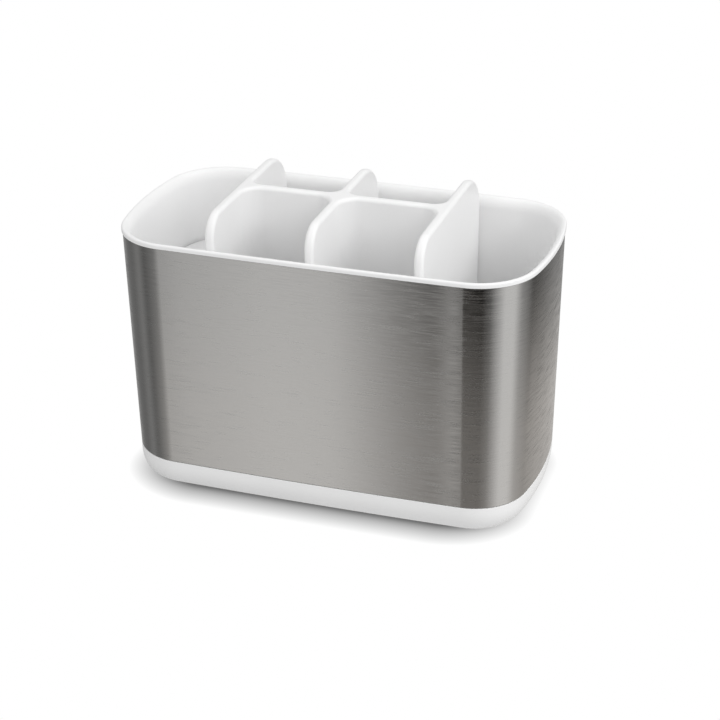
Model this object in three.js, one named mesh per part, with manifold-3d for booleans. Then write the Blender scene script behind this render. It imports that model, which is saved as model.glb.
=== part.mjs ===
// Large toothbrush holder: a brushed steel sleeve round a white bin with a lift-out divider,
// on a drip base with soft feet.
// Millimetres, +Z up. The origin is on the surface it stands on, under its middle. The front faces -Y.
import * as THREE from "three";
import { mergeVertices } from "three/addons/utils/BufferGeometryUtils.js";
import Module from "manifold-3d";

const wasm = await Module();
wasm.setup();

// The sleeve's top edge drives the plan. Every other outline is drawn in from it by an inset.
const WIDTH = 185;
const DEPTH = 95.5;
const CORNER = 25.9;
const FRONT_BOW = 0.75;
const END_BOW = 1.85;
const SIDE_STEPS = 4;
const CORNER_STEPS = 8;

// Steps round a quarter turn of the small edges, the fillets and the large rounds.
const EDGE_STEPS = 3;
const FILLET_STEPS = 4;
const ROUND_STEPS = 8;

// Sheet-steel sleeve, drawn in by SLEEVE_TAPER at its bottom edge.
const SLEEVE_TOP = 115.35;
const SLEEVE_BOTTOM = 13.75;
const SLEEVE_TAPER = 2.0;
const SHEET = 0.6;
const SEAM_GAP = 0.4;

// Clearance between pieces that touch.
const GAP = 0.3;

// Inner bin: rolled rim, drafted wall, vented floor and a skirt that hides the joint with the base.
const RIM_TOP = 117.6;
const LIP_OVERHANG = 0.45;
const LIP_EDGE = 0.8;
const RIM_ROLL = 5.2;
const BIN_INSIDE = 3.4;
const BIN_DRAFT = 1.9;
const SKIRT = 2.4;
const FLOOR_BOTTOM = 19.8;
const FLOOR_TOP = 22.4;
const FLOOR_FILLET = 2.5;
const SLOT_WIDTH = 3;
const SLOT_LENGTH = 20;
const SLOT_PITCH = 9;
const SLOT_ROW = 22;
const END_BAY = 68;

// Divider insert.
const WALLS_AT = [-43.8, -0.3, 46.1];
const WALL = 4.1;
const WALL_EDGE = 1.6;
const WALL_TOP = 130.7;
const WALL_FRONT = 43.5;
const WALL_REAR = 43.6;
const WALL_DRAFT = 3.6;
const WALL_FRONT_CORNER = 11;
const WALL_REAR_CORNER = 19;
const WEB_MIDDLE = -2.65;
const WEB_FRONT_FILLET = 8;
const WEB_REAR_FILLET = 5;
const SHELF_TOP = 84.8;
const SHELF = 2.6;
const SHELF_EDGE = 0.8;
const SHELF_GAP = 0.7;

// Base tray.
const BASE_BOTTOM = 0.8;
const BULLNOSE_IN = 6.3;
const BULLNOSE_UP = 10;
const BASE_EDGE = 0.3;
const TRAY_FLOOR = 3.4;
const TRAY_FILLET = 2;
const UPSTAND_TOP = 18.4;
const UPSTAND = 2.2;
const UPSTAND_LEAD = 0.6;
const UPSTAND_GAP = 0.4;

// Feet.
const FOOT_RADIUS = 6;
const FOOT_HEIGHT = 1.6;
const FOOT_EDGE = 0.4;
const FOOT_X = 66;
const FOOT_Y = 27;
const FOOT_SIDES = 24;

const X = new THREE.Vector3(1, 0, 0);
const Y = new THREE.Vector3(0, 1, 0);
const Z = new THREE.Vector3(0, 0, 1);

// The plan as eight arcs, counter-clockwise: four bowed sides and the corners between them.
// reach is an arc's radius before the corner radius is added to all of them.
function planArcs() {
  const coreX = WIDTH / 2 - CORNER - END_BOW;
  const coreY = DEPTH / 2 - CORNER - FRONT_BOW;
  const sides = [
    { facing: -Math.PI / 2, half: coreX, out: coreY, bow: FRONT_BOW },
    { facing: 0, half: coreY, out: coreX, bow: END_BOW },
    { facing: Math.PI / 2, half: coreX, out: coreY, bow: FRONT_BOW },
    { facing: Math.PI, half: coreY, out: coreX, bow: END_BOW },
  ];
  const arcs = [];
  sides.forEach(({ facing, half, out, bow }, i) => {
    const reach = (half * half + bow * bow) / (2 * bow);
    const swing = Math.asin(half / reach);
    const back = out - (reach - bow);
    const x = back * Math.cos(facing);
    const y = back * Math.sin(facing);
    arcs.push({ x, y, reach, from: facing - swing, to: facing + swing, steps: SIDE_STEPS });
    const next = sides[(i + 1) % sides.length];
    const nextSwing = Math.asin((2 * next.half * next.bow) / (next.half ** 2 + next.bow ** 2));
    arcs.push({
      x: out * Math.cos(facing) + half * Math.cos(facing + Math.PI / 2),
      y: out * Math.sin(facing) + half * Math.sin(facing + Math.PI / 2),
      reach: 0,
      from: facing + swing,
      to: facing + Math.PI / 2 - nextSwing,
      steps: CORNER_STEPS,
    });
  });
  return arcs;
}

const PLAN = planArcs();

// The closed plan outline, drawn in by inset from the sleeve's top edge.
function outline(inset) {
  const grow = CORNER - inset;
  return PLAN.flatMap(({ x, y, reach, from, to, steps }) => {
    const arc = new THREE.EllipseCurve(x, y, reach + grow, reach + grow, from, to);
    return arc.getPoints(steps).slice(0, -1);
  });
}

// Lofts the plan outline through rows of [inset, z]. A ring joins its last row to its first;
// otherwise the first row is closed from below and the last from above.
function loft(rows, ring = false) {
  const loops = rows.map(([inset, z]) => outline(inset).map((p) => [p.x, p.y, z]));
  const count = loops[0].length;
  const positions = loops.flat(2);
  const index = [];
  const spans = ring ? rows.length : rows.length - 1;
  for (let row = 0; row < spans; row++) {
    const above = (row + 1) % rows.length;
    for (let i = 0; i < count; i++) {
      const j = (i + 1) % count;
      const [a, b] = [row * count + i, row * count + j];
      const [c, d] = [above * count + j, above * count + i];
      index.push(a, b, c, a, c, d);
    }
  }
  if (!ring) {
    const last = (rows.length - 1) * count;
    const low = positions.length / 3;
    positions.push(0, 0, rows[0][1], 0, 0, rows[rows.length - 1][1]);
    for (let i = 0; i < count; i++) {
      const j = (i + 1) % count;
      index.push(low, j, i, low + 1, last + i, last + j);
    }
  }
  const geometry = new THREE.BufferGeometry();
  geometry.setAttribute("position", new THREE.Float32BufferAttribute(positions, 3));
  geometry.setIndex(index);
  geometry.computeVertexNormals();
  return geometry;
}

// Rows along a quarter of an ellipse about [inset, z], from angle from to angle to.
// Angle 0 points inwards and PI / 2 points up.
function roundRows(inset, z, radiusIn, radiusUp, from, to, steps) {
  const arc = new THREE.EllipseCurve(inset, z, radiusIn, radiusUp, from, to, to < from);
  return arc.getPoints(steps).map((p) => [p.x, p.y]);
}

function solid(geometry) {
  const bare = geometry.clone();
  bare.deleteAttribute("normal");
  bare.deleteAttribute("uv");
  const merged = mergeVertices(bare);
  const vertProperties = merged.getAttribute("position").array;
  const triVerts = new Uint32Array(merged.index.array);
  return new wasm.Manifold(new wasm.Mesh({ numProp: 3, vertProperties, triVerts }));
}

function geometryOf(manifold) {
  const { vertProperties, triVerts } = manifold.getMesh();
  const geometry = new THREE.BufferGeometry();
  geometry.setAttribute("position", new THREE.BufferAttribute(vertProperties, 3));
  geometry.setIndex(new THREE.BufferAttribute(triVerts, 1));
  geometry.computeVertexNormals();
  return geometry;
}

const joined = (solids) => solids.reduce((whole, piece) => whole.add(piece));
const cut = (from, tools) => tools.reduce((rest, tool) => rest.subtract(tool), from);

// An extrusion whose edges are all rounded by edge, centred on its own thickness.
function roundedPlate(shape, thickness, edge, edgeSegments, curveSegments) {
  const depth = thickness - 2 * edge;
  const geometry = new THREE.ExtrudeGeometry(shape, {
    depth,
    curveSegments,
    bevelThickness: edge,
    bevelSize: edge,
    bevelOffset: -edge,
    bevelSegments: edgeSegments,
  });
  return geometry.translate(0, 0, -depth / 2);
}

// The sleeve's inset at a height, on its outer face.
const sleeveInset = (z) => (SLEEVE_TAPER * (SLEEVE_TOP - z)) / (SLEEVE_TOP - SLEEVE_BOTTOM);

// The bin's inner face below its rolled rim: its inset at a height.
const ROLL_BOTTOM = RIM_TOP - RIM_ROLL;
const binInset = (z) => BIN_INSIDE + (BIN_DRAFT * (ROLL_BOTTOM - z)) / (ROLL_BOTTOM - FLOOR_TOP);

// The faces of the walls on either side of each pocket.
const POCKETS = WALLS_AT.slice(1).map((right, i) => [WALLS_AT[i] + WALL / 2, right - WALL / 2]);

const SKIRT_OUT = sleeveInset(SLEEVE_BOTTOM) + SHEET + GAP;
const SKIRT_IN = SKIRT_OUT + SKIRT;

// Sheet wrapped round and butted at the middle of the back.
function steelSleeve() {
  const sheet = loft(
    [
      [sleeveInset(SLEEVE_BOTTOM), SLEEVE_BOTTOM],
      [0, SLEEVE_TOP],
      [SHEET, SLEEVE_TOP],
      [sleeveInset(SLEEVE_BOTTOM) + SHEET, SLEEVE_BOTTOM],
    ],
    true,
  );
  const seam = new THREE.BoxGeometry(SEAM_GAP, CORNER, 2 * SLEEVE_TOP);
  seam.translate(0, DEPTH / 2, 0);
  return geometryOf(solid(sheet).subtract(solid(seam)));
}

function drainSlot(x, y) {
  const straight = SLOT_LENGTH / 2 - SLOT_WIDTH / 2;
  const shape = new THREE.Shape();
  shape.absarc(0, straight, SLOT_WIDTH / 2, 0, Math.PI);
  shape.absarc(0, -straight, SLOT_WIDTH / 2, Math.PI, 2 * Math.PI);
  const depth = 2 * (FLOOR_TOP - FLOOR_BOTTOM);
  const slot = new THREE.ExtrudeGeometry(shape, { depth, curveSegments: EDGE_STEPS, bevelEnabled: false });
  return slot.translate(x, y, (FLOOR_TOP + FLOOR_BOTTOM - depth) / 2);
}

function innerBin() {
  const lipFace = -LIP_OVERHANG;
  const lipTop = lipFace + LIP_EDGE;
  const body = loft([
    [SKIRT_IN, FLOOR_BOTTOM],
    [SKIRT_IN, SLEEVE_BOTTOM],
    [SKIRT_OUT, SLEEVE_BOTTOM],
    [SHEET + GAP, SLEEVE_TOP + GAP],
    [lipFace, SLEEVE_TOP + GAP],
    ...roundRows(lipTop, RIM_TOP - LIP_EDGE, LIP_EDGE, LIP_EDGE, Math.PI, Math.PI / 2, EDGE_STEPS),
    ...roundRows(lipTop, ROLL_BOTTOM, BIN_INSIDE - lipTop, RIM_ROLL, Math.PI / 2, 0, ROUND_STEPS).slice(1),
    ...roundRows(
      binInset(FLOOR_TOP) + FLOOR_FILLET,
      FLOOR_TOP + FLOOR_FILLET,
      FLOOR_FILLET,
      FLOOR_FILLET,
      Math.PI,
      1.5 * Math.PI,
      FILLET_STEPS,
    ),
  ]);
  const middles = [-END_BAY, ...POCKETS.map(([left, right]) => (left + right) / 2), END_BAY];
  const slots = middles.flatMap((bay) =>
    [-SLOT_PITCH, 0, SLOT_PITCH].flatMap((step) =>
      [-SLOT_ROW, SLOT_ROW].map((y) => solid(drainSlot(bay + step, y))),
    ),
  );
  return geometryOf(cut(solid(body), slots));
}

// One front-to-back wall: a drafted plate with round top corners and soft edges.
function dividerWall(x) {
  const floor = FLOOR_TOP + GAP;
  const side = new THREE.Shape();
  const [rear, front] = [WALL_REAR_CORNER, WALL_FRONT_CORNER];
  side.moveTo(WALL_DRAFT - WALL_FRONT, floor);
  side.lineTo(WALL_REAR - WALL_DRAFT, floor);
  side.absarc(WALL_REAR - rear, WALL_TOP - rear, rear, 0, Math.PI / 2);
  side.absarc(front - WALL_FRONT, WALL_TOP - front, front, Math.PI / 2, Math.PI);
  side.closePath();
  const plate = roundedPlate(side, WALL, WALL_EDGE, EDGE_STEPS, ROUND_STEPS);
  plate.applyMatrix4(new THREE.Matrix4().makeBasis(Y, Z, X));
  return plate.translate(x, 0, 0);
}

// The cross wall in plan, with the fillets that blend it into the three walls on both of its sides.
function dividerWeb() {
  const front = WEB_MIDDLE - WALL / 2 - WEB_FRONT_FILLET;
  const rear = WEB_MIDDLE + WALL / 2 + WEB_REAR_FILLET;
  const leftEnd = WALLS_AT[0] - WALL / 2 + GAP;
  const rightEnd = WALLS_AT[2] + WALL / 2 - GAP;
  const plan = new THREE.Shape();
  plan.moveTo(leftEnd, rear);
  plan.lineTo(leftEnd, front);
  for (const [left, right] of POCKETS) {
    plan.absarc(left + WEB_FRONT_FILLET, front, WEB_FRONT_FILLET, Math.PI, Math.PI / 2, true);
    plan.absarc(right - WEB_FRONT_FILLET, front, WEB_FRONT_FILLET, Math.PI / 2, 0, true);
  }
  plan.lineTo(rightEnd, front);
  plan.lineTo(rightEnd, rear);
  for (const [left, right] of POCKETS.toReversed()) {
    plan.absarc(right - WEB_REAR_FILLET, rear, WEB_REAR_FILLET, 0, -Math.PI / 2, true);
    plan.absarc(left + WEB_REAR_FILLET, rear, WEB_REAR_FILLET, -Math.PI / 2, -Math.PI, true);
  }
  plan.closePath();
  const floor = FLOOR_TOP + GAP;
  const web = roundedPlate(plan, WALL_TOP - floor, WALL_EDGE, EDGE_STEPS, FILLET_STEPS);
  return web.translate(0, 0, (WALL_TOP + floor) / 2);
}

// A plate that fills the left compartment's plan, short of the bin's wall all round.
function dividerShelf() {
  const inset = binInset(SHELF_TOP) + SHELF_GAP;
  const plan = new THREE.Shape(outline(inset));
  const plate = roundedPlate(plan, SHELF, SHELF_EDGE, EDGE_STEPS, EDGE_STEPS);
  plate.translate(0, 0, SHELF_TOP - SHELF / 2);
  const left = new THREE.BoxGeometry(WIDTH, 2 * DEPTH, 2 * WALL_TOP);
  left.translate(WALLS_AT[0] - WIDTH / 2, 0, 0);
  return solid(plate).intersect(solid(left));
}

function dividerInsert() {
  const walls = WALLS_AT.map((x) => solid(dividerWall(x)));
  return geometryOf(joined([...walls, solid(dividerWeb()), dividerShelf()]));
}

const FEET = {
  foot_front_left: [-FOOT_X, -FOOT_Y],
  foot_front_right: [FOOT_X, -FOOT_Y],
  foot_rear_left: [-FOOT_X, FOOT_Y],
  foot_rear_right: [FOOT_X, FOOT_Y],
};

// A pad turned about its own upright axis, with its lower edge broken.
function foot() {
  const profile = [
    new THREE.Vector2(0, 0),
    new THREE.Vector2(FOOT_RADIUS - FOOT_EDGE, 0),
    new THREE.Vector2(FOOT_RADIUS, FOOT_EDGE),
    new THREE.Vector2(FOOT_RADIUS, FOOT_HEIGHT),
    new THREE.Vector2(0, FOOT_HEIGHT),
  ];
  return new THREE.LatheGeometry(profile, FOOT_SIDES).rotateX(Math.PI / 2);
}

// Drip tray with a bullnose lower edge and an upstand that centres the bin's skirt.
function baseTray() {
  const edge = sleeveInset(SLEEVE_BOTTOM);
  const top = SLEEVE_BOTTOM - GAP;
  const upstandOut = SKIRT_IN + UPSTAND_GAP;
  const upstandIn = upstandOut + UPSTAND;
  const noseTop = BASE_BOTTOM + BULLNOSE_UP;
  const filletTop = TRAY_FLOOR + TRAY_FILLET;
  const [outwards, downwards] = [Math.PI, 1.5 * Math.PI];
  const body = loft([
    ...roundRows(edge + BULLNOSE_IN, noseTop, BULLNOSE_IN, BULLNOSE_UP, downwards, outwards, ROUND_STEPS),
    [edge, top - BASE_EDGE],
    [edge + BASE_EDGE, top],
    [upstandOut, top],
    [upstandOut, UPSTAND_TOP - UPSTAND_LEAD],
    [upstandOut + UPSTAND_LEAD, UPSTAND_TOP],
    [upstandIn - UPSTAND_LEAD, UPSTAND_TOP],
    [upstandIn, UPSTAND_TOP - UPSTAND_LEAD],
    ...roundRows(
      upstandIn + TRAY_FILLET,
      filletTop,
      TRAY_FILLET,
      TRAY_FILLET,
      outwards,
      downwards,
      FILLET_STEPS,
    ),
  ]);
  const radius = FOOT_RADIUS + GAP;
  const recesses = Object.values(FEET).map(([x, y]) => {
    const recess = new THREE.CylinderGeometry(radius, radius, 2 * (FOOT_HEIGHT + GAP), FOOT_SIDES);
    return solid(recess.rotateX(Math.PI / 2).translate(x, y, 0));
  });
  return geometryOf(cut(solid(body), recesses));
}

const whitePlastic = new THREE.MeshStandardMaterial({ color: 0xf3f3f2, roughness: 0.42, metalness: 0 });
const brushedSteel = new THREE.MeshStandardMaterial({ color: 0xa9a8a5, roughness: 0.32, metalness: 1 });
const softPad = new THREE.MeshStandardMaterial({ color: 0xd9d9d7, roughness: 0.8, metalness: 0 });

const holder = new THREE.Group();

function addPiece(name, geometry, material) {
  const mesh = new THREE.Mesh(geometry, material);
  mesh.name = name;
  holder.add(mesh);
  return mesh;
}

addPiece("base_tray", baseTray(), whitePlastic);
for (const [name, [x, y]] of Object.entries(FEET)) {
  addPiece(name, foot(), softPad).position.set(x, y, 0);
}
addPiece("steel_sleeve", steelSleeve(), brushedSteel);
addPiece("inner_bin", innerBin(), whitePlastic);
addPiece("divider_insert", dividerInsert(), whitePlastic);

export default holder;
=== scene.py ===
# %% [markdown]
# # A toothbrush holder with a brushed steel sleeve
# The real holder is three white mouldings and one sheet of steel: a bin with a rolled rim, a sleeve
# wrapped round it, a divider that lifts out of it, and a drip base that stands on soft pads. The packed
# frame says where each of them is and how it moves. This file makes their surfaces and finishes around
# that frame.

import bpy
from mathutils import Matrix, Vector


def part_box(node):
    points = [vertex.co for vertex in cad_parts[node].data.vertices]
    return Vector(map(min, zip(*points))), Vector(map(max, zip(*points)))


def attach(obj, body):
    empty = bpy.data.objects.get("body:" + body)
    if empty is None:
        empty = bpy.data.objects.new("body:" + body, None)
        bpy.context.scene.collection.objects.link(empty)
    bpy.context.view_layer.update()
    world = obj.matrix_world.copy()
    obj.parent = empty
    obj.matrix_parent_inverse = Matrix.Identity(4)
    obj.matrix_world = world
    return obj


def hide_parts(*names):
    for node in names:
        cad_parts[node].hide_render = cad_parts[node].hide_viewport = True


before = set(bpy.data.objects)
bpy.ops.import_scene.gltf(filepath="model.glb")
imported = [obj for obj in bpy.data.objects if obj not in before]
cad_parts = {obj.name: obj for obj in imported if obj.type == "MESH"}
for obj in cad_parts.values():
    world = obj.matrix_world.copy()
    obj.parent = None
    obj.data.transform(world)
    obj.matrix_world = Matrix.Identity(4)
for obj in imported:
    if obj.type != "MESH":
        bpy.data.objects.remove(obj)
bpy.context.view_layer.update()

# %% [markdown]
# ## Measures
# Everything is in metres, so sizes are written in millimetres times MM. What the frame already knows,
# such as the sleeve's width or the rim's height, is read from it. Only radii, wall thicknesses and the
# like are written down here.

# %% Measures from the frame
import math

import bmesh
import bpy
from mathutils import Matrix, Quaternion, Vector

MM = 0.001
sleeve_low, sleeve_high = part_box("steel_sleeve")
bin_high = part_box("inner_bin")[1]
divider_low, divider_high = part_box("divider_insert")
base_low, base_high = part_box("base_tray")

WIDTH = sleeve_high.x - sleeve_low.x
DEPTH = sleeve_high.y - sleeve_low.y
SLEEVE_TOP = sleeve_high.z
SLEEVE_BOTTOM = sleeve_low.z
RIM_TOP = bin_high.z
LIP_OVERHANG = bin_high.x - sleeve_high.x
print(f"sleeve {WIDTH / MM:.1f} x {DEPTH / MM:.1f} mm, rim at {RIM_TOP / MM:.1f} mm")

# %% [markdown]
# ## The plan outline
# Seen from above, the holder is a rectangle with round corners whose sides bow out a little. That is
# eight arcs in a row. A bevelled rectangle would keep its sides straight. A spin turns a vertex about a
# centre and leaves an edge behind at each step, so eight spins, each starting where the last one
# stopped, draw the outline with true arcs and no table of points.

# %% Eight spins make one outline
CORNER = 25.9 * MM
FRONT_BOW = 0.75 * MM
END_BOW = 1.85 * MM
SIDE_STEPS = 16
CORNER_STEPS = 20
CORE_X = WIDTH / 2 - CORNER - END_BOW
CORE_Y = DEPTH / 2 - CORNER - FRONT_BOW
WELD = 0.01 * MM  # points nearer to each other than this are one point


def bowed_side(half, bow):
    """Radius, and half the angle, of the arc that rises by bow over a chord of twice half."""
    radius = (half * half + bow * bow) / (2 * bow)
    return radius, math.asin(half / radius)


def plan_face(bm, inset, height):
    """A face of the plan's outline, drawn in by inset from the sleeve's top edge and facing up."""
    grow = CORNER - inset
    front_radius, front_swing = bowed_side(CORE_X, FRONT_BOW)
    end_radius, end_swing = bowed_side(CORE_Y, END_BOW)
    corner_swing = math.pi / 2 - front_swing - end_swing
    sides = [
        (CORE_X, CORE_Y, FRONT_BOW - front_radius, 2 * front_swing),
        (CORE_Y, CORE_X, END_BOW - end_radius, 2 * end_swing),
    ] * 2
    start = (-CORE_X - grow * math.sin(front_swing), -CORE_Y - grow * math.cos(front_swing), height)
    first = tip = bm.verts.new(start)
    for quarter, (half, out, back, swing) in enumerate(sides):
        turn = Matrix.Rotation(quarter * math.pi / 2, 3, "Z")
        side_centre = turn @ Vector((0, -out - back, height))
        corner_centre = turn @ Vector((half, -out, height))
        arcs = [(side_centre, swing, SIDE_STEPS), (corner_centre, corner_swing, CORNER_STEPS)]
        for centre, angle, steps in arcs:
            spun = bmesh.ops.spin(bm, geom=[tip], cent=centre, axis=(0, 0, 1), angle=angle, steps=steps)
            tip = next(v for v in spun["geom_last"] if isinstance(v, bmesh.types.BMVert))
    bmesh.ops.remove_doubles(bm, verts=[first, tip], dist=WELD)
    face = bmesh.ops.contextual_create(bm, geom=bm.edges[:])["faces"][0]
    face.normal_update()
    if face.normal.z < 0:
        face.normal_flip()
    return face


print(f"plan's core: {2 * CORE_X / MM:.1f} x {2 * CORE_Y / MM:.1f} mm, corners of {CORNER / MM:.1f} mm")

# %% [markdown]
# ## Walls that follow the plan
# The base, the sleeve, the bin and the shelf are all this outline, drawn in or out as it rises. A
# Solidify modifier would give a wall one thickness all over, and these have an outside and an inside of
# their own. Insetting a face with a depth leaves a ring of quads behind and moves the face on. So each
# of these pieces is a list of rows, (inset, height), that walks up the outside, over the rim and down
# the inside. Rounded edges are rows along an arc.

# %% Lofting by insets
EDGE_STEPS = 8
WIDE_EDGE_STEPS = 2 * EDGE_STEPS
SMALL_EDGE_STEPS = EDGE_STEPS // 2


def round_rows(inset, height, radius_in, radius_up, start, end, steps=EDGE_STEPS):
    """Rows along an ellipse about (inset, height). 0 degrees points inwards and 90 points up."""
    angles = [math.radians(start + (end - start) * i / steps) for i in range(steps + 1)]
    return [(inset + radius_in * math.cos(a), height + radius_up * math.sin(a)) for a in angles]


def lofted(rows):
    """Walks the plan face along the rows. The last row stays closed by a face, the first is left open."""
    bm = bmesh.new()
    cap = plan_face(bm, *rows[0])
    for (inset, height), (next_inset, next_height) in zip(rows, rows[1:]):
        bmesh.ops.inset_region(
            bm,
            faces=[cap],
            thickness=next_inset - inset,
            depth=next_height - height,
            use_even_offset=True,
            use_boundary=True,
        )
    return bm, cap


def open_edges(bm):
    return [e for e in bm.edges if e.is_boundary]


def closed_loft(rows):
    bm, _ = lofted(rows)
    bmesh.ops.contextual_create(bm, geom=open_edges(bm))
    return bm


def ring_loft(rows):
    """A loft with nothing in its middle: the last row is joined back to the first."""
    bm, cap = lofted(rows)
    bmesh.ops.delete(bm, geom=[cap], context="FACES_ONLY")
    bmesh.ops.bridge_loops(bm, edges=open_edges(bm))
    return bm


print("steps on a small, a plain and a wide edge:", SMALL_EDGE_STEPS, EDGE_STEPS, WIDE_EDGE_STEPS)

# %% [markdown]
# ## From a mesh to a piece
# A finished piece rides on a body of the frame and stands for the CAD node whose place it takes. Large
# flat faces next to narrow rounded edges shade best when the large faces decide the normals, and the
# Weighted Normal modifier sees to that. Holes and joins between finished forms are one boolean each,
# baked into the mesh so that no helper object is left over.

# %% Finishing a piece
SHARP = math.radians(50)


def as_object(bm, name):
    bmesh.ops.recalc_face_normals(bm, faces=bm.faces[:])
    mesh = bpy.data.meshes.new(name)
    bm.to_mesh(mesh)
    bm.free()
    made = bpy.data.objects.new(name, mesh)
    bpy.context.scene.collection.objects.link(made)
    return made


def baked_boolean(piece, tool, operation):
    """Cuts or joins tool, a closed object, and removes it."""
    boolean = piece.modifiers.new("boolean", "BOOLEAN")
    boolean.object = tool
    boolean.operation = operation
    boolean.solver = "EXACT"
    graph = bpy.context.evaluated_depsgraph_get()
    rough = piece.data
    piece.data = bpy.data.meshes.new_from_object(piece.evaluated_get(graph))
    piece.modifiers.clear()
    bpy.data.meshes.remove(rough)
    bpy.data.objects.remove(tool)


def finish_piece(piece, body, slot, material, *nodes):
    piece.data.materials.clear()
    piece.data.materials.append(material)
    piece.data.shade_smooth()
    piece.data.set_sharp_from_angle(angle=SHARP)
    even = piece.modifiers.new("even_shading", "WEIGHTED_NORMAL")
    even.keep_sharp = True
    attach(piece, body)
    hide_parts(*nodes)
    print(f"{piece.name}: {len(piece.data.polygons)} faces on {body}")


print(f"edges that turn by more than {math.degrees(SHARP):.0f} degrees stay sharp")

# %% [markdown]
# ## Finishes
# One small function adds a node with its settings and links, and one turns a hex colour, as a paint card
# gives it, into the linear values that a shader takes.

# %% Helpers for finishes
def linear(hex_colour):
    channels = [int(hex_colour[i : i + 2], 16) / 255 for i in (1, 3, 5)]
    return [c / 12.92 if c <= 0.04045 else ((c + 0.055) / 1.055) ** 2.4 for c in channels] + [1.0]


def add_node(tree, kind, inputs=None, stops=None, **settings):
    """Adds a node. An input, by name or place, is linked to a socket or set to a value.

    Stops are pairs of place and colour, and take the place of those that a colour ramp starts with.
    """
    made = tree.nodes.new(kind)
    for name, value in settings.items():
        setattr(made, name, value)
    for key, value in (inputs or {}).items():
        if isinstance(value, bpy.types.NodeSocket):
            tree.links.new(value, made.inputs[key])
        else:
            made.inputs[key].default_value = value
    if stops:
        ramp = made.color_ramp.elements
        ramp.remove(ramp[1])
        for i, (place, colour) in enumerate(stops):
            stop = ramp.new(place) if i else ramp[0]
            stop.position = place
            stop.color = colour
    return made


def new_finish(name):
    material = bpy.data.materials.new(name)
    material.use_nodes = True
    material.node_tree.nodes.clear()
    return material, material.node_tree


print(f"the middle grey #808080 is {linear('#808080')[0]:.3f} in linear light")

# %% [markdown]
# ### Moulded polypropylene
# The white pieces are injection moulded. The mould is spark-eroded, which leaves an even, very fine
# pebble on the plastic: no mirror gloss, but a soft sheen along every rounded edge. Its real grain is
# under a tenth of a millimetre. The noise that draws it is a few times coarser, so that it can show at
# this size. A slower noise adds the slight flow marks that any large moulding has. A noise keeps mostly
# to the middle of its range, so tints and roughness are spread over that middle.

# %% White moulded polypropylene
PEBBLE = 0.35 * MM
PEBBLE_DEPTH = 0.006 * MM
FLOW_MARK = 28 * MM
PLASTIC_TINTS = [(0.3, linear("#f8f8f8")), (0.7, linear("#fbfbfb"))]
PLASTIC_ROUGHNESS = {"From Min": 0.3, "From Max": 0.7, "To Min": 0.36, "To Max": 0.5}
PLASTIC_IOR = 1.49


def white_moulded_polypropylene():
    material, tree = new_finish("white_moulded_polypropylene")
    place = add_node(tree, "ShaderNodeTexCoord").outputs["Object"]
    fine = {"Vector": place, "Scale": 1 / PEBBLE, "Detail": 2.0}
    pebble = add_node(tree, "ShaderNodeTexNoise", fine).outputs["Fac"]
    slow = {"Vector": place, "Scale": 1 / FLOW_MARK, "Detail": 3.0}
    flow = add_node(tree, "ShaderNodeTexNoise", slow).outputs["Fac"]
    tint = add_node(tree, "ShaderNodeValToRGB", {"Fac": flow}, stops=PLASTIC_TINTS)
    sheen = add_node(tree, "ShaderNodeMapRange", {"Value": pebble, **PLASTIC_ROUGHNESS})
    bump = add_node(tree, "ShaderNodeBump", {"Height": pebble, "Distance": PEBBLE_DEPTH, "Strength": 1.0})
    shader = add_node(
        tree,
        "ShaderNodeBsdfPrincipled",
        {
            "Base Color": tint.outputs["Color"],
            "Roughness": sheen.outputs["Result"],
            "Normal": bump.outputs["Normal"],
            "IOR": PLASTIC_IOR,
        },
    )
    add_node(tree, "ShaderNodeOutputMaterial", {"Surface": shader.outputs["BSDF"]})
    return material


polypropylene = white_moulded_polypropylene()
print("finish:", polypropylene.name)

# %% [markdown]
# ### Brushed stainless steel
# The sheet was drawn along an abrasive belt before it was bent, so its scratches run level round the
# whole sleeve. Scratches scatter light across themselves, so a reflection is smeared up and down and
# stays fairly crisp from side to side: that is what anisotropy does. Real scratches are hundredths of a
# millimetre wide. Here they are drawn as bundles about half a millimetre wide and a centimetre long, so
# that they show at this size, and some are glossier than others. Wider bands are the belt's passes. A
# noise that is drawn out level has no seam, as a picture of scratches wrapped round the sleeve would.

# %% Brushed stainless steel
SCRATCH_WIDTH = 0.6 * MM
SCRATCH_LENGTH = 10 * MM
SCRATCH_DEPTH = 0.03 * MM
SCRATCH_DETAIL = 1.0
BAND_WIDTH = 3.5 * MM
BAND_LENGTH = 150 * MM
BAND_DETAIL = 2.0
BAND_SHARE = 0.15
STREAK_BREAKUP = 0.65
STEEL_TINTS = [(0.32, linear("#c5c4c2")), (0.68, linear("#cdccca"))]
STEEL_ROUGHNESS = {"From Min": 0.36, "From Max": 0.7, "To Min": 0.09, "To Max": 0.29}
QUARTER_TURN = 0.25  # lays the smear up and down, across the scratches


def streaks(tree, width, length, detail):
    """A noise that is drawn out level, round the sleeve, and is narrow up and down."""
    place = add_node(tree, "ShaderNodeTexCoord").outputs["Object"]
    drawn_out = {"Vector": place, "Scale": (1 / length, 1 / length, 1 / width)}
    along = add_node(tree, "ShaderNodeMapping", drawn_out).outputs["Vector"]
    noise = {"Vector": along, "Scale": 1.0, "Detail": detail, "Roughness": STREAK_BREAKUP}
    return add_node(tree, "ShaderNodeTexNoise", noise).outputs["Fac"]


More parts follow.
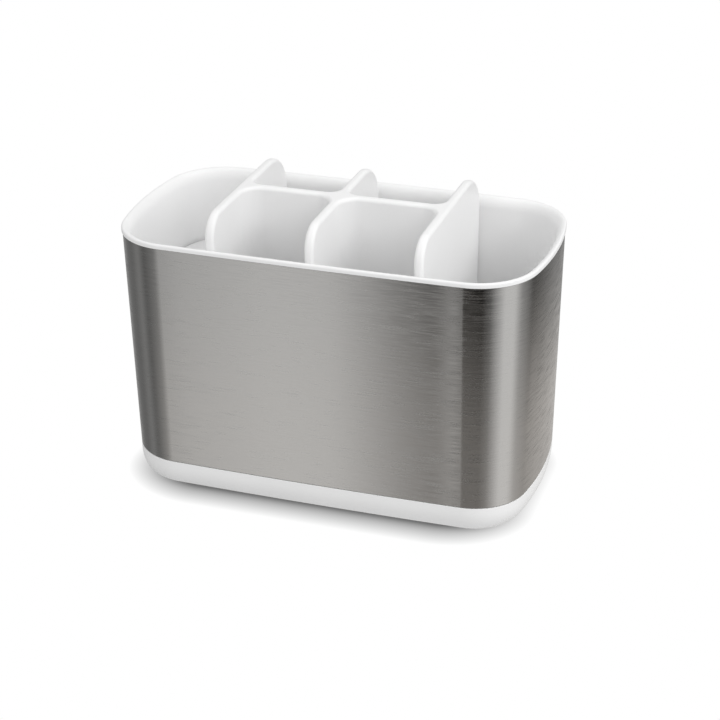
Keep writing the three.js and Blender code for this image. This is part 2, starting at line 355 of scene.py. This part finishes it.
def brushed_stainless_steel():
    material, tree = new_finish("brushed_stainless_steel")
    scratches = streaks(tree, SCRATCH_WIDTH, SCRATCH_LENGTH, SCRATCH_DETAIL)
    bands = streaks(tree, BAND_WIDTH, BAND_LENGTH, BAND_DETAIL)
    both = {"Factor": BAND_SHARE, "A": scratches, "B": bands}
    brushing = add_node(tree, "ShaderNodeMix", both, data_type="FLOAT").outputs["Result"]
    tint = add_node(tree, "ShaderNodeValToRGB", {"Fac": brushing}, stops=STEEL_TINTS)
    gloss = add_node(tree, "ShaderNodeMapRange", {"Value": brushing, **STEEL_ROUGHNESS})
    relief = {"Height": scratches, "Distance": SCRATCH_DEPTH, "Strength": 1.0}
    bump = add_node(tree, "ShaderNodeBump", relief)
    grain = add_node(tree, "ShaderNodeTangent", direction_type="RADIAL", axis="Z")
    shader = add_node(
        tree,
        "ShaderNodeBsdfPrincipled",
        {
            "Base Color": tint.outputs["Color"],
            "Metallic": 1.0,
            "Roughness": gloss.outputs["Result"],
            "Anisotropic": 1.0,
            "Anisotropic Rotation": QUARTER_TURN,
            "Tangent": grain.outputs["Tangent"],
            "Normal": bump.outputs["Normal"],
        },
    )
    add_node(tree, "ShaderNodeOutputMaterial", {"Surface": shader.outputs["BSDF"]})
    return material


steel = brushed_stainless_steel()
print("finish:", steel.name)

# %% [markdown]
# ### Soft elastomer
# The pads are a soft, pale grey elastomer. It is matte, slightly grainy, and picks up a little dirt.

# %% Matte elastomer
PAD_GRAIN = 0.6 * MM
PAD_GRAIN_DEPTH = 0.02 * MM
PAD_TINTS = [(0.0, linear("#c4c4c2")), (1.0, linear("#dcdcda"))]
PAD_ROUGHNESS = 0.82
PAD_IOR = 1.45


def matte_elastomer():
    material, tree = new_finish("matte_elastomer")
    place = add_node(tree, "ShaderNodeTexCoord").outputs["Object"]
    fine = {"Vector": place, "Scale": 1 / PAD_GRAIN, "Detail": 4.0}
    grain = add_node(tree, "ShaderNodeTexNoise", fine).outputs["Fac"]
    tint = add_node(tree, "ShaderNodeValToRGB", {"Fac": grain}, stops=PAD_TINTS)
    bump = add_node(tree, "ShaderNodeBump", {"Height": grain, "Distance": PAD_GRAIN_DEPTH})
    shader = add_node(
        tree,
        "ShaderNodeBsdfPrincipled",
        {
            "Base Color": tint.outputs["Color"],
            "Roughness": PAD_ROUGHNESS,
            "Normal": bump.outputs["Normal"],
            "IOR": PAD_IOR,
        },
    )
    add_node(tree, "ShaderNodeOutputMaterial", {"Surface": shader.outputs["BSDF"]})
    return material


elastomer = matte_elastomer()
print("finish:", elastomer.name)

# %% [markdown]
# ## The steel sleeve
# A thin sheet, wrapped round and butted at the middle of the back, a little narrower at the bottom than
# at the top. It could be an open ring with a Solidify modifier. A ring loft of six rows is as short, and
# its two extra rows break the sheet's outer edges, which then catch the light. One thin box cuts the
# seam.

# %% Steel sleeve
SHEET = 0.6 * MM
SHEET_EDGE = 0.12 * MM
SLEEVE_TAPER = 2.0 * MM
SEAM_GAP = 0.4 * MM


def sleeve_inset(height):
    """How far the sleeve's outer face is drawn in at a height."""
    return SLEEVE_TAPER * (SLEEVE_TOP - height) / (SLEEVE_TOP - SLEEVE_BOTTOM)


def steel_sleeve():
    foot = sleeve_inset(SLEEVE_BOTTOM)
    rows = [
        (foot + SHEET_EDGE, SLEEVE_BOTTOM),
        (foot, SLEEVE_BOTTOM + SHEET_EDGE),
        (0, SLEEVE_TOP - SHEET_EDGE),
        (SHEET_EDGE, SLEEVE_TOP),
        (SHEET, SLEEVE_TOP),
        (foot + SHEET, SLEEVE_BOTTOM),
    ]
    sleeve = as_object(ring_loft(rows), "brushed_sleeve")
    seam = bmesh.new()
    across = Matrix.Diagonal((SEAM_GAP, CORNER, 2 * SLEEVE_TOP, 1))
    bmesh.ops.create_cube(seam, size=1, matrix=Matrix.Translation((0, DEPTH / 2, 0)) @ across)
    baked_boolean(sleeve, as_object(seam, "seam"), "DIFFERENCE")
    return sleeve


finish_piece(steel_sleeve(), "bin", "brushed_steel", steel, "steel_sleeve")

# %% [markdown]
# ## The inner bin
# The bin's rim rolls over the top edge of the sleeve and overhangs it by a hair. Inside, the wall leans in
# towards the floor, so that the moulding leaves its mould, and meets it in a fillet. Below the floor, a
# skirt hides the joint with the base. All of that is one walk of rows, so the bin is one closed skin with
# no joins to hide.

# %% Inner bin
GAP = 0.3 * MM
LIP_EDGE = 0.8 * MM
RIM_ROLL = 5.2 * MM
BIN_INSIDE = 3.4 * MM
BIN_DRAFT = 1.9 * MM
SKIRT = 2.4 * MM
FLOOR_BOTTOM = 19.8 * MM
FLOOR_TOP = 22.4 * MM
FLOOR_FILLET = 2.5 * MM
SKIRT_OUT = sleeve_inset(SLEEVE_BOTTOM) + SHEET + GAP
SKIRT_IN = SKIRT_OUT + SKIRT
ROLL_BOTTOM = RIM_TOP - RIM_ROLL


def bin_inset(height):
    """How far the bin's inner face is drawn in at a height."""
    return BIN_INSIDE + BIN_DRAFT * (ROLL_BOTTOM - height) / (ROLL_BOTTOM - FLOOR_TOP)


def bin_shell():
    lip = -LIP_OVERHANG
    crest = lip + LIP_EDGE
    foot = bin_inset(FLOOR_TOP) + FLOOR_FILLET
    rows = [
        (SKIRT_IN, FLOOR_BOTTOM),
        (SKIRT_IN, SLEEVE_BOTTOM),
        (SKIRT_OUT, SLEEVE_BOTTOM),
        (SHEET + GAP, SLEEVE_TOP + GAP),
        (lip, SLEEVE_TOP + GAP),
        *round_rows(crest, RIM_TOP - LIP_EDGE, LIP_EDGE, LIP_EDGE, 180, 90),
        *round_rows(crest, ROLL_BOTTOM, BIN_INSIDE - crest, RIM_ROLL, 90, 0, WIDE_EDGE_STEPS)[1:],
        *round_rows(foot, FLOOR_TOP + FLOOR_FILLET, FLOOR_FILLET, FLOOR_FILLET, 180, 270),
    ]
    return as_object(closed_loft(rows), "white_bin")


white_bin = bin_shell()
print(f"bin: {(RIM_TOP - FLOOR_TOP) / MM:.1f} mm deep inside")

# %% [markdown]
# Slots in the floor let water through to the base. Each is cut by a rounded bar: a box whose four upright
# edges are bevelled by just under half its width, so that the two bevels at an end don't meet. They stand
# in two rows of three under each pair of pockets and each end compartment. All bars are in one mesh, so
# one boolean is enough.

# %% Drain slots in the bin's floor
WALL = 4.1 * MM
WALLS_AT = [-43.8 * MM, -0.3 * MM, 46.1 * MM]
END_BAY = 68 * MM
SLOT_WIDTH = 3 * MM
SLOT_LENGTH = 20 * MM
SLOT_PITCH = 9 * MM
SLOT_ROW = 22 * MM
SLOT_ROUND = 0.49 * SLOT_WIDTH
SLOT_ROUND_STEPS = 6


def is_upright(edge):
    a, b = (v.co for v in edge.verts)
    return (a - b).xy.length < WELD


def drain_slots():
    bm = bmesh.new()
    bar = Matrix.Diagonal((SLOT_WIDTH, SLOT_LENGTH, 2 * (FLOOR_TOP - FLOOR_BOTTOM), 1))
    pockets = [(left + right) / 2 for left, right in zip(WALLS_AT, WALLS_AT[1:])]
    for bay in [-END_BAY, *pockets, END_BAY]:
        for step in (-SLOT_PITCH, 0, SLOT_PITCH):
            for row in (-SLOT_ROW, SLOT_ROW):
                place = Matrix.Translation((bay + step, row, (FLOOR_TOP + FLOOR_BOTTOM) / 2))
                bmesh.ops.create_cube(bm, size=1, matrix=place @ bar)
    bmesh.ops.bevel(
        bm,
        geom=[e for e in bm.edges if is_upright(e)],
        offset=SLOT_ROUND,
        segments=SLOT_ROUND_STEPS,
        profile=0.5,
        affect="EDGES",
        material=-1,
    )
    return as_object(bm, "drain_slots")


baked_boolean(white_bin, drain_slots(), "DIFFERENCE")
finish_piece(white_bin, "bin", "white_plastic", polypropylene, "inner_bin")

# %% [markdown]
# ## The divider
# Three walls run from front to back, and one cross wall joins them. Four joined boxes would be quick, but
# their seams leave no clean edges to round. In plan the walls are a grid with the four pockets taken
# out. Extruded, it gets its look from bevels, made in this order: the big round corners at the ends of
# the walls, wide fillets where the cross wall meets the others, and last one small radius round every
# edge that is left.

# %% Divider's plan
WALL_DRAFT = 3.6 * MM
WEB_MIDDLE = -2.65 * MM
WEB_FRONT = WEB_MIDDLE - WALL / 2
WEB_REAR = WEB_MIDDLE + WALL / 2
FRONT_FOOT = divider_low.y + WALL_DRAFT
REAR_FOOT = divider_high.y - WALL_DRAFT
FLAT = math.radians(1)


def divider_plan(bm):
    """A grid of walls and pockets with the pockets taken out, as one face."""
    across = [x + side * WALL / 2 for x in WALLS_AT for side in (-1, 1)]
    along = [FRONT_FOOT, WEB_FRONT, WEB_REAR, REAR_FOOT]
    columns, rows = len(across) - 1, len(along) - 1
    bmesh.ops.create_grid(bm, x_segments=columns, y_segments=rows, size=1)
    pockets = []
    for face in bm.faces:
        middle = face.calc_center_median()
        column = int((middle.x + 1) / 2 * columns)
        row = int((middle.y + 1) / 2 * rows)
        if column % 2 == 1 and row % 2 == 0:
            pockets.append(face)
    for v in bm.verts:
        column = round((v.co.x + 1) / 2 * columns)
        row = round((v.co.y + 1) / 2 * rows)
        v.co = (across[column], along[row], divider_low.z)
    bmesh.ops.delete(bm, geom=pockets, context="FACES")
    bmesh.ops.dissolve_limit(bm, angle_limit=FLAT, verts=bm.verts[:], edges=bm.edges[:])


print(f"divider's walls: {(REAR_FOOT - FRONT_FOOT) / MM:.1f} mm long at the foot, {WALL / MM:.1f} mm thick")

# %% [markdown]
# The walls' ends lean out as they rise, because they follow the bin. The round corner takes off the top of
# that slope, so the slope is drawn on past it, just far enough that the rounded wall has its full length.

# %% Divider's walls
WALL_EDGE = 1.6 * MM
WALL_EDGE_STEPS = 6
WALL_FRONT_CORNER = 11 * MM
WALL_REAR_CORNER = 19 * MM
WEB_FRONT_FILLET = 8 * MM
WEB_REAR_FILLET = 5 * MM
WEB_FILLET_STEPS = 10
NEAR = 0.05 * MM
CREASE = math.radians(30)


def round_off(bm, edges, radius, segments):
    bmesh.ops.bevel(
        bm,
        geom=edges,
        offset=radius,
        offset_type="OFFSET",
        segments=segments,
        profile=0.5,
        affect="EDGES",
        clamp_overlap=False,
        material=-1,
    )


def divider_walls():
    bm = bmesh.new()
    divider_plan(bm)
    height = divider_high.z - divider_low.z
    raised = bmesh.ops.extrude_face_region(bm, geom=bm.faces[:])["geom"]
    top = [v for v in raised if isinstance(v, bmesh.types.BMVert)]
    bmesh.ops.translate(bm, verts=top, vec=(0, 0, height))
    corners = []
    for y, way, radius in ((FRONT_FOOT, -1, WALL_FRONT_CORNER), (REAR_FOOT, 1, WALL_REAR_CORNER)):
        lean = WALL_DRAFT * height / (height - radius)
        tip = [v for v in top if abs(v.co.y - y) < NEAR]
        bmesh.ops.translate(bm, verts=tip, vec=(0, way * lean, 0))
        corners.append(([e for e in bm.edges if all(v in tip for v in e.verts)], radius))
    bmesh.ops.recalc_face_normals(bm, faces=bm.faces[:])

    for ends, radius in corners:
        round_off(bm, ends, radius, WIDE_EDGE_STEPS)
    for y, radius in ((WEB_FRONT, WEB_FRONT_FILLET), (WEB_REAR, WEB_REAR_FILLET)):
        inner = [e for e in bm.edges if is_upright(e) and abs(e.verts[0].co.y - y) < NEAR]
        round_off(bm, inner, radius, WEB_FILLET_STEPS)
    creases = [e for e in bm.edges if e.is_convex and e.calc_face_angle() > CREASE]
    round_off(bm, creases, WALL_EDGE, WALL_EDGE_STEPS)
    return as_object(bm, "white_divider")


white_divider = divider_walls()
print("divider's walls:", len(white_divider.data.polygons), "faces")

# %% [markdown]
# The shelf fills the left compartment's plan, a hair short of the bin's wall all round. A box wouldn't
# follow the bin's round end, so the shelf is a thin loft of the same outline, cut off inside the left
# wall and joined to it.

# %% Shelf on the left wall
SHELF_TOP = 84.8 * MM
SHELF = 2.6 * MM
SHELF_EDGE = 0.8 * MM
SHELF_GAP = 0.7 * MM


def shelf():
    edge = bin_inset(SHELF_TOP) + SHELF_GAP + SHELF_EDGE
    lower = SHELF_TOP - SHELF + SHELF_EDGE
    upper = SHELF_TOP - SHELF_EDGE
    rows = [
        *round_rows(edge, lower, SHELF_EDGE, SHELF_EDGE, 270, 180, SMALL_EDGE_STEPS),
        *round_rows(edge, upper, SHELF_EDGE, SHELF_EDGE, 180, 90, SMALL_EDGE_STEPS),
    ]
    bm = closed_loft(rows)
    everything = bm.verts[:] + bm.edges[:] + bm.faces[:]
    bmesh.ops.bisect_plane(
        bm, geom=everything, plane_co=(WALLS_AT[0], 0, 0), plane_no=(1, 0, 0), clear_outer=True
    )
    bmesh.ops.contextual_create(bm, geom=open_edges(bm))
    return as_object(bm, "shelf")


baked_boolean(white_divider, shelf(), "UNION")
finish_piece(white_divider, "divider", "white_plastic", polypropylene, "divider_insert")

# %% [markdown]
# ## The drip base
# The base carries the sleeve's line on down and turns under in a bullnose, taller than it is deep, so that
# the holder seems to float on its shadow. An upstand inside centres the bin's skirt. Like the bin, it is
# one closed walk of rows. Four round recesses hold the pads, and one boolean cuts them.

# %% Drip base
BULLNOSE_IN = 6.3 * MM
BULLNOSE_UP = 10 * MM
BASE_EDGE = 0.3 * MM
TRAY_FLOOR = 3.4 * MM
TRAY_FILLET = 2 * MM
UPSTAND = 2.2 * MM
UPSTAND_LEAD = 0.6 * MM
UPSTAND_GAP = 0.4 * MM
ROUND_STEPS = 48
FEET = ["foot_front_left", "foot_front_right", "foot_rear_left", "foot_rear_right"]


def pad_recesses():
    bm = bmesh.new()
    for name in FEET:
        low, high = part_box(name)
        radius = (high.x - low.x) / 2 + GAP
        bmesh.ops.create_cone(
            bm,
            cap_ends=True,
            segments=ROUND_STEPS,
            radius1=radius,
            radius2=radius,
            depth=2 * (high.z + GAP),
            matrix=Matrix.Translation(((low.x + high.x) / 2, (low.y + high.y) / 2, 0)),
        )
    return as_object(bm, "recesses")


def drip_base():
    edge = sleeve_inset(SLEEVE_BOTTOM)
    top = SLEEVE_BOTTOM - GAP
    out = SKIRT_IN + UPSTAND_GAP
    inner = out + UPSTAND
    lead_in = base_high.z - UPSTAND_LEAD
    nose_in, nose_up = edge + BULLNOSE_IN, base_low.z + BULLNOSE_UP
    rows = [
        *round_rows(nose_in, nose_up, BULLNOSE_IN, BULLNOSE_UP, 270, 180, WIDE_EDGE_STEPS),
        *round_rows(edge + BASE_EDGE, top - BASE_EDGE, BASE_EDGE, BASE_EDGE, 180, 90, SMALL_EDGE_STEPS),
        (out, top),
        (out, lead_in),
        (out + UPSTAND_LEAD, base_high.z),
        (inner - UPSTAND_LEAD, base_high.z),
        (inner, lead_in),
        *round_rows(inner + TRAY_FILLET, TRAY_FLOOR + TRAY_FILLET, TRAY_FILLET, TRAY_FILLET, 180, 270),
    ]
    base = as_object(closed_loft(rows), "white_base")
    baked_boolean(base, pad_recesses(), "DIFFERENCE")
    return base


finish_piece(drip_base(), "base", "white_plastic", polypropylene, "base_tray")

# %% [markdown]
# ## The pads
# Each pad is a round button with a soft lower edge. A bevelled cylinder would do. Here half of its
# section, with that edge rounded, is spun once round its own axis, as a turner would make it.

# %% Pads
PAD_EDGE = 0.5 * MM
PAD_EDGE_STEPS = 5


def pad(name):
    low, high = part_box(name)
    centre = Vector(((low.x + high.x) / 2, (low.y + high.y) / 2, 0))
    radius = (high.x - low.x) / 2
    bm = bmesh.new()
    section = [
        (0, 0),
        *round_rows(radius - PAD_EDGE, PAD_EDGE, PAD_EDGE, PAD_EDGE, -90, 0, PAD_EDGE_STEPS),
        (radius, high.z),
        (0, high.z),
    ]
    points = [bm.verts.new(centre + Vector((out, 0, up))) for out, up in section]
    line = [bm.edges.new(pair) for pair in zip(points, points[1:])]
    bmesh.ops.spin(
        bm,
        geom=points + line,
        cent=centre,
        axis=(0, 0, 1),
        angle=2 * math.pi,
        steps=ROUND_STEPS,
        use_merge=True,
    )
    bmesh.ops.remove_doubles(bm, verts=bm.verts[:], dist=WELD)
    return as_object(bm, name.replace("foot", "pad"))


for foot in FEET:
    finish_piece(pad(foot), "base", "soft_pad", elastomer, foot)

# %% [markdown]
# ## Studio
# The photograph is a catalogue shot: white everywhere, a soft contact shadow, and a steel front that
# mirrors what stood round the table. The world is plain white to the camera and to reflections, and only
# fills the shadows otherwise.

# %% White world
FILL = 0.7


def seen_directly(tree):
    """1 for camera, glossy and transmission rays, and 0 for the rest."""
    path = add_node(tree, "ShaderNodeLightPath").outputs
    first = {0: path["Is Camera Ray"], 1: path["Is Glossy Ray"]}
    either = add_node(tree, "ShaderNodeMath", first, operation="MAXIMUM").outputs[0]
    last = {0: either, 1: path["Is Transmission Ray"]}
    return add_node(tree, "ShaderNodeMath", last, operation="MAXIMUM").outputs[0]


def white_world():
    world = bpy.data.worlds.new("white_studio")
    world.use_nodes = True
    tree = world.node_tree
    tree.nodes.clear()
    strength = {"Value": seen_directly(tree), "To Min": FILL, "To Max": 1.0}
    level = add_node(tree, "ShaderNodeMapRange", strength).outputs["Result"]
    sky = add_node(tree, "ShaderNodeBackground", {"Color": linear("#ffffff"), "Strength": level})
    add_node(tree, "ShaderNodeOutputWorld", {"Surface": sky.outputs["Background"]})
    bpy.context.scene.world = world


white_world()
print("the world fills shadows at", FILL, "of white")

# %% [markdown]
# The floor is a light table, so the holder is also lit from below. The steel doesn't mirror it, because a
# screen, further on, stands for all that the steel mirrors. To the camera the floor is pure white, apart
# from a patch of painted shadow round the base: a grey on which the lamps' real contact shadow also falls.
# The painted grey fades to white about a centimetre and a half out from the base's foot, sooner at the
# ends, and it is painted a little to the left, as the shadow of the stronger light on the right would lie.
# Its reach is measured from the plan's core, so it has round corners as the plan has.

# %% White floor
FLOOR_SIZE = 8.0
FLOOR_GLOW = 0.58
# the grey painted round the base as shadow
PAINTED_SHADOW_GREY = "#939393"
# where the painted shadow starts and ends, how much shorter it is at the ends, how far it is moved to the
# left, and how much sooner it fades at the ends
SHADOW_START = 18.9 * MM
SHADOW_END = 34.5 * MM
SHADOW_SHORT = 12 * MM
SHADOW_SHIFT = 2 * MM
END_FADE = 0.85


def clear_of_shadow(tree):
    """0 next to the holder, where the painted shadow lies, rising to 1 where the floor shows pure white."""
    point = add_node(tree, "ShaderNodeTexCoord").outputs["Object"]
    steps = [
        ("ADD", (SHADOW_SHIFT, 0, 0)),
        ("ABSOLUTE", (0, 0, 0)),
        ("SUBTRACT", (CORE_X - SHADOW_SHORT, CORE_Y, 0)),
        ("MAXIMUM", (0, 0, 0)),
        ("MULTIPLY", (END_FADE, 1, 1)),
    ]
    for operation, by in steps:
        point = add_node(tree, "ShaderNodeVectorMath", {0: point, 1: by}, operation=operation).outputs[0]
    distance = add_node(tree, "ShaderNodeVectorMath", {0: point}, operation="LENGTH").outputs["Value"]
    fade = {"Value": distance, "From Min": SHADOW_START, "From Max": SHADOW_END}
    return add_node(tree, "ShaderNodeMapRange", fade).outputs["Result"]


def light_table():
    material, tree = new_finish("white_floor")
    to_camera = add_node(tree, "ShaderNodeLightPath").outputs["Is Camera Ray"]
    to_others = add_node(tree, "ShaderNodeMath", {0: 1.0, 1: to_camera}, operation="SUBTRACT").outputs[0]
    glowing = {0: clear_of_shadow(tree), 1: to_others}
    share = add_node(tree, "ShaderNodeMath", glowing, operation="MAXIMUM").outputs[0]
    strength = {"Value": to_camera, "To Min": FLOOR_GLOW, "To Max": 1.0}
    level = add_node(tree, "ShaderNodeMapRange", strength).outputs["Result"]
    # painted shadow: a grey patch, on which the lamps' real contact shadow also falls
    painted_shade = add_node(tree, "ShaderNodeBsdfDiffuse", {"Color": linear(PAINTED_SHADOW_GREY)})
    white = add_node(tree, "ShaderNodeEmission", {"Color": linear("#ffffff"), "Strength": level})
    both = add_node(tree, "ShaderNodeMixShader", {0: share, 1: painted_shade.outputs[0], 2: white.outputs[0]})
    add_node(tree, "ShaderNodeOutputMaterial", {"Surface": both.outputs[0]})
    return material


def white_floor():
    bm = bmesh.new()
    bmesh.ops.create_grid(bm, x_segments=1, y_segments=1, size=FLOOR_SIZE / 2)
    floor = as_object(bm, "floor")
    floor.data.materials.append(light_table())
    floor.visible_glossy = False


white_floor()
print("the floor is", FLOOR_SIZE, "m wide and glows at", FLOOR_GLOW, "of white")

# %% [markdown]
# The steel needs something to mirror. A round screen stands about the holder, seen by reflections alone:
# dark card, with two tall windows of light, one ahead to the left and one to the right, and a paler wall
# behind. A thin strip of light straight ahead draws the fine line beside the front's dark band. The
# brightness runs along a ramp of compass angles, where 0 is straight ahead of the front and 90 is to the
# right. Low down the table's own light is mixed in, more of it behind and none at the far left.

# %% What the screen shows
SCREEN = [
    # The wall behind, and the card on the left.
    (-180, 0.4),
    (-112, 0.32),
    (-100, 0.2),
    (-86, 0.18),
    (-72, 0.28),
    (-61, 0.14),
    # The window ahead to the left.
    (-44, 0.25),
    (-34, 0.58),
    (-22, 0.69),
    (-14, 0.66),
    (-4.5, 0.25),
    # The strip straight ahead, and the dark card to the right of it.
    (-0.7, 0.14),
    (0.7, 0.02),
    (2.1, 0.46),
    (3.5, 0.34),
    (4.9, 0.0),
    (35, 0.0),
    # The window to the right.
    (46, 0.12),
    (66, 0.78),
    (80, 0.8),
    (92, 0.36),
    # The card on the right, and the wall behind again.
    (116, 0.07),
    (128, 0.05),
    (140, 0.18),
    (180, 0.4),
]
TABLE_COLOUR = "#fff9f3"
TABLE_DOWN = {"From Min": 25 * MM, "From Max": -70 * MM, "To Max": 0.25}
TABLE_BACK = {"From Min": -100 * MM, "From Max": 170 * MM, "To Min": 1.0, "To Max": 1.8}
TABLE_LEFT = {"From Min": -240 * MM, "From Max": -160 * MM}


def table_light(tree, x, y, z):
    """How much of the table's light is mixed in at a place on the screen."""
    down = add_node(tree, "ShaderNodeMapRange", {"Value": z, **TABLE_DOWN}).outputs["Result"]
    back = add_node(tree, "ShaderNodeMapRange", {"Value": y, **TABLE_BACK}).outputs["Result"]
    left = add_node(tree, "ShaderNodeMapRange", {"Value": x, **TABLE_LEFT}).outputs["Result"]
    level = add_node(tree, "ShaderNodeMath", {0: back, 1: left}, operation="MULTIPLY").outputs[0]
    return add_node(tree, "ShaderNodeMath", {0: down, 1: level}, operation="MULTIPLY").outputs[0]


def screen_card():
    material, tree = new_finish("screen_card")
    place = add_node(tree, "ShaderNodeTexCoord").outputs["Object"]
    split = add_node(tree, "ShaderNodeSeparateXYZ", {"Vector": place})
    x, y, z = (split.outputs[axis] for axis in "XYZ")
    ahead = add_node(tree, "ShaderNodeMath", {0: y, 1: -1.0}, operation="MULTIPLY").outputs[0]
    compass = add_node(tree, "ShaderNodeMath", {0: x, 1: ahead}, operation="ARCTAN2").outputs[0]
    whole_turn = {"Value": compass, "From Min": -math.pi, "From Max": math.pi}
    turn = add_node(tree, "ShaderNodeMapRange", whole_turn).outputs["Result"]
    stops = [((angle + 180) / 360, (level, level, level, 1)) for angle, level in SCREEN]
    ramp = add_node(tree, "ShaderNodeValToRGB", {"Fac": turn}, stops=stops)
    # A Mix node has several sockets of the same name, so its colours are given by place.
    mixed = {0: table_light(tree, x, y, z), 6: ramp.outputs["Color"], 7: linear(TABLE_COLOUR)}
    shown = add_node(tree, "ShaderNodeMix", mixed, data_type="RGBA").outputs[2]
    light = add_node(tree, "ShaderNodeEmission", {"Color": shown})
    add_node(tree, "ShaderNodeOutputMaterial", {"Surface": light.outputs[0]})
    return material


card = screen_card()
print("screen's ramp:", len(SCREEN), "stops")

# %% [markdown]
# The screen itself is a circle of edges, drawn up into an open drum. It is hidden from every kind of ray
# but the glossy ones, so it neither shows in the picture nor keeps the light off the holder.

# %% Screen for the steel's reflections
SCREEN_RADIUS = 260 * MM
SCREEN_TOP = 400 * MM
SCREEN_FOOT = -500 * MM
SCREEN_SIDES = 96


def reflected_screen():
    bm = bmesh.new()
    foot = Matrix.Translation((0, 0, SCREEN_FOOT))
    bmesh.ops.create_circle(bm, segments=SCREEN_SIDES, radius=SCREEN_RADIUS, matrix=foot)
    raised = bmesh.ops.extrude_edge_only(bm, edges=bm.edges[:])["geom"]
    upper = [v for v in raised if isinstance(v, bmesh.types.BMVert)]
    bmesh.ops.translate(bm, verts=upper, vec=(0, 0, SCREEN_TOP - SCREEN_FOOT))
    screen = as_object(bm, "screen")
    screen.data.materials.append(card)
    for ray in ("camera", "diffuse", "transmission", "volume_scatter", "shadow"):
        setattr(screen, f"visible_{ray}", False)


reflected_screen()
print(f"screen: {2 * SCREEN_RADIUS / MM:.0f} mm across")

# %% [markdown]
# Two soft boxes light the whites: one to the right, which brightens the faces turned that way, and a
# weaker one ahead to the left, which reaches down into the pockets.

# %% Soft boxes
SOFT_BOX_DISTANCE = 1.1
SOFT_BOX_SIZE = 0.6


def direction(azimuth, elevation):
    """The way out from the holder. Azimuth 0 is straight ahead of the front and 90 is to the right."""
    a, e = math.radians(azimuth), math.radians(elevation)
    return Vector((math.sin(a) * math.cos(e), -math.cos(a) * math.cos(e), math.sin(e)))


def soft_box(name, azimuth, elevation, watts):
    lamp = bpy.data.lights.new(name, "AREA")
    lamp.shape = "SQUARE"
    lamp.size = SOFT_BOX_SIZE
    lamp.energy = watts
    box = bpy.data.objects.new(name, lamp)
    away = direction(azimuth, elevation)
    box.location = away * SOFT_BOX_DISTANCE
    box.rotation_euler = (-away).to_track_quat("-Z", "Y").to_euler()
    box.visible_glossy = False
    bpy.context.scene.collection.objects.link(box)
    print(f"soft box {name}: {watts} W, {azimuth} degrees round and {elevation} up")


soft_box("right_hand", azimuth=72, elevation=41, watts=4.1)
soft_box("ahead_left", azimuth=-22, elevation=50, watts=1.0)

# %% [markdown]
# ## Camera
# The camera stands ahead and to the right of the holder and looks down at it, with a long lens. Its place
# was found by fitting the outlines of the rim, the sleeve and the base. It leans by a little over half a
# degree.

# %% Camera
CAMERA_AZIMUTH = 18.777
CAMERA_ELEVATION = 26.547
CAMERA_ROLL = -0.653
CAMERA_DISTANCE = 824.4 * MM
CAMERA_AIM_RIGHT = 6.218 * MM
CAMERA_AIM_HEIGHT = 51.516 * MM
SENSOR = 36.0
FOCAL = 93.68

scene = bpy.context.scene
view = bpy.data.objects.new("camera", bpy.data.cameras.new("camera"))
back = direction(CAMERA_AZIMUTH, CAMERA_ELEVATION)
right = direction(CAMERA_AZIMUTH + 90, 0)
aim = right * CAMERA_AIM_RIGHT + Vector((0, 0, CAMERA_AIM_HEIGHT))
view.location = aim + back * CAMERA_DISTANCE
turn = (-back).to_track_quat("-Z", "Y") @ Quaternion((0, 0, 1), math.radians(CAMERA_ROLL))
view.rotation_euler = turn.to_euler()
view.data.sensor_width = SENSOR
view.data.lens = FOCAL
scene.collection.objects.link(view)
scene.camera = view
scene.view_settings.view_transform = "Standard"
print("camera at, mm:", [round(c / MM) for c in view.location])
